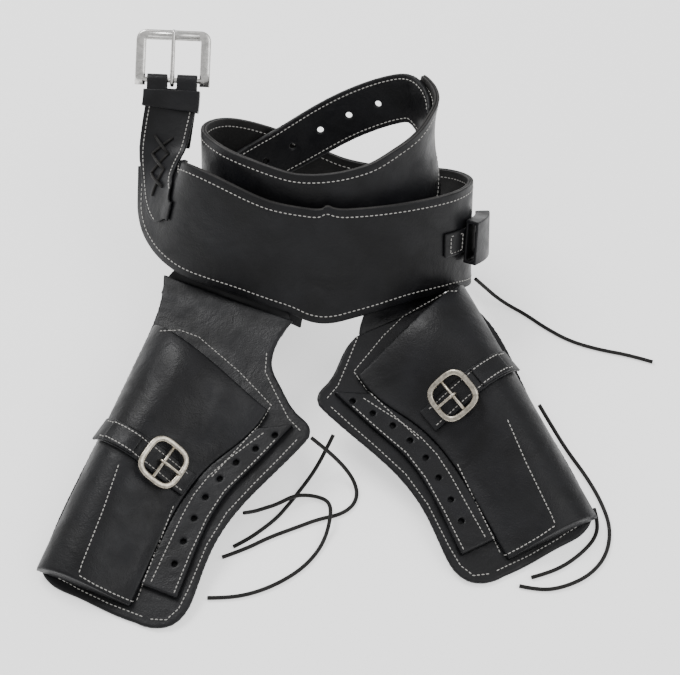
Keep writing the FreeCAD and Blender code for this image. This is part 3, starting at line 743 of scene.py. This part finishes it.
outline = [(-24.5, -4.2), (-24.5, 6), (-24.5, 18)]
outline += [(-20.5 - 4 * math.cos(math.radians(a)), 30 + 4 * math.sin(math.radians(a)))
            for a in range(0, 91, 15)]
outline += [(x, 34) for x in (-14, -7, 0, 7, 14)]
outline += [(20.5 + 4 * math.sin(math.radians(a)), 30 + 4 * math.cos(math.radians(a)))
            for a in range(0, 91, 15)]
outline += [(24.5, 18), (24.5, 6), (24.5, -4.2)]
merged("main_buckle_cast", [
    rail("rail", outline, 7.8, 4.0, BUCKLE, NICKEL, closed=False, sides=20),
    spline_tube("heel_bar", BUCKLE, [(-24.5, 0, 0), (0, 0, 0), (24.5, 0, 0)], [2.0] * 3, NICKEL),
    spline_tube("roller", BUCKLE, [(-19.6, 34, 0), (-19.2, 34, 0), (19.2, 34, 0), (19.6, 34, 0)],
                [2.2, 2.9, 2.9, 2.2], NICKEL)],
    NICKEL, "main_buckle", "main_buckle_frame")
tongue("main_buckle_pin", BUCKLE, 0, 2.0, 1.8, 38, 4.5, NICKEL, "main_tongue", "main_buckle_tongue")
for prefix, matrix in RINGS.items():
    circle = [squared(15.2, angle) for angle in range(0, 360, 6)]
    merged(prefix + "_ring_cast", [
        rail("ring", circle, 4.4, 3.8, matrix, WORN, sides=16),
        spline_tube("bar", matrix, [(0, -15.5, 0), (0, 0, 0), (0, 15.5, 0)], [1.3] * 3, WORN)],
        WORN, prefix + "_holster", prefix + "_ring_buckle")
    tongue(prefix + "_ring_pin", matrix, -90, 1.3, 1.3, 15.5, 3.4, WORN, prefix + "_tongue",
           prefix + "_ring_tongue")

# ---------------------------------------------------------------- thongs
LACE = 3.0
FLOOR = 1.65
CORDS = {
    "left_tie_cord": ("left_holster", 0.176, [
        (-21, -118, 40), (-12, -122, 33), (-3, -125, 23), (5, -128, 12), (11, -134, 4), (13, -144, FLOOR),
        (9, -154, FLOOR), (-1, -161, FLOOR), (-16, -164.5, FLOOR), (-33, -172, FLOOR), (-52, -180, FLOOR),
        (-69, -190, FLOOR), (-86, -197, FLOOR)]),
    "centre_tie_cord": ("left_holster", 0.117, [
        (-5, -109, 30), (-12, -119, 19), (-20, -129, 9), (-29, -139, 2.5), (-38, -152, FLOOR),
        (-47, -164, FLOOR), (-58, -174, FLOOR), (-68, -182, FLOOR), (-78, -188, FLOOR)]),
    "left_loop_cord": ("left_holster", 0.211, [
        (-70, -171.5, 22), (-64, -167, 16), (-56, -161, 11), (-46, -156, 9), (-34, -148, 8), (-23, -145, 4),
        (-12, -147, 2.5), (-7, -156, 8), (-7, -167, 8.5), (-10, -179, 3), (-16, -192, FLOOR),
        (-27, -206, FLOOR), (-43, -218, FLOOR), (-62, -227, FLOOR), (-81, -231, FLOOR), (-96, -231, FLOOR)]),
    "right_tie_cord": ("right_holster", 0.212, [
        (149, -77, 22), (159, -89, 10), (170, -106, 3), (183, -127, FLOOR), (193, -149, FLOOR),
        (199, -172, FLOOR), (195, -195, FLOOR), (182, -212, FLOOR), (163, -222, FLOOR), (145, -225, FLOOR),
        (130, -221, FLOOR)]),
    "right_loop_cord": ("right_holster", 0.085, [
        (187.5, -156, 2.5), (190, -168, FLOOR), (187, -181, FLOOR), (177, -193, FLOOR), (165, -203, FLOOR),
        (152, -210, FLOOR), (139, -214, FLOOR)]),
    "belt_cord": ("belt", 0.160, [
        (104, 34, 30), (112, 33, 20), (121, 31, 10), (131, 28, 3), (143, 21, FLOOR), (158, 8, FLOOR),
        (177, -5, FLOOR), (200, -13, FLOOR), (221, -17.5, FLOOR), (239, -24, FLOOR)])}
for name, (body, length, route) in CORDS.items():
    curve = bpy.data.curves.new(name + "_thong", "CURVE")
    curve.dimensions = "3D"
    spline = curve.splines.new("NURBS")
    spline.points.add(len(route) - 1)
    for point, spot in zip(spline.points, route):
        point.co = (*((Vector(spot) - ORIGIN) * MM), 1)
    spline.order_u = 3
    spline.use_endpoint_u = True
    curve.bevel_depth = LACE / 2 * MM
    curve.bevel_resolution = 4
    curve.use_fill_caps = True
    curve.materials.append(THONG)
    thong = bpy.data.objects.new(name + "_thong", curve)
    bpy.context.scene.collection.objects.link(thong)
    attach(thong, body)
    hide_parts(name)

# ---------------------------------------------------------------- table and light
floor_material, _, _, floor_shader = new_material("Table", (0.93, 0.93, 0.93), 0.7)
floor_plane = mesh_object("table_top",
                          [(-6, -6, -0.0003), (6, -6, -0.0003), (6, 6, -0.0003), (-6, 6, -0.0003)],
                          [(0, 1, 2, 3)], [floor_material], smooth=False)
floor_shader.inputs["Emission Color"].default_value = (1, 1, 1, 1)
floor_shader.inputs["Emission Strength"].default_value = 0.9
world = bpy.data.worlds.new("Studio")
bpy.context.scene.world = world
world.use_nodes = True
world.node_tree.nodes["Background"].inputs["Color"].default_value = (1, 1, 1, 1)
world.node_tree.nodes["Background"].inputs["Strength"].default_value = 0.72
for label, spot, aim, width, power in (("Key", (-0.9, 0.9, 1.9), (0, 0, 0), 0.9, 30),
                                      ("Fill", (1.2, -0.5, 1.7), (0, 0, 0), 1.4, 14)):
    lamp = bpy.data.lights.new(label, "AREA")
    lamp.size = width
    lamp.energy = power
    light = bpy.data.objects.new(label, lamp)
    light.location = spot
    light.rotation_euler = (Vector(aim) - Vector(spot)).to_track_quat("-Z", "Y").to_euler()
    bpy.context.scene.collection.objects.link(light)
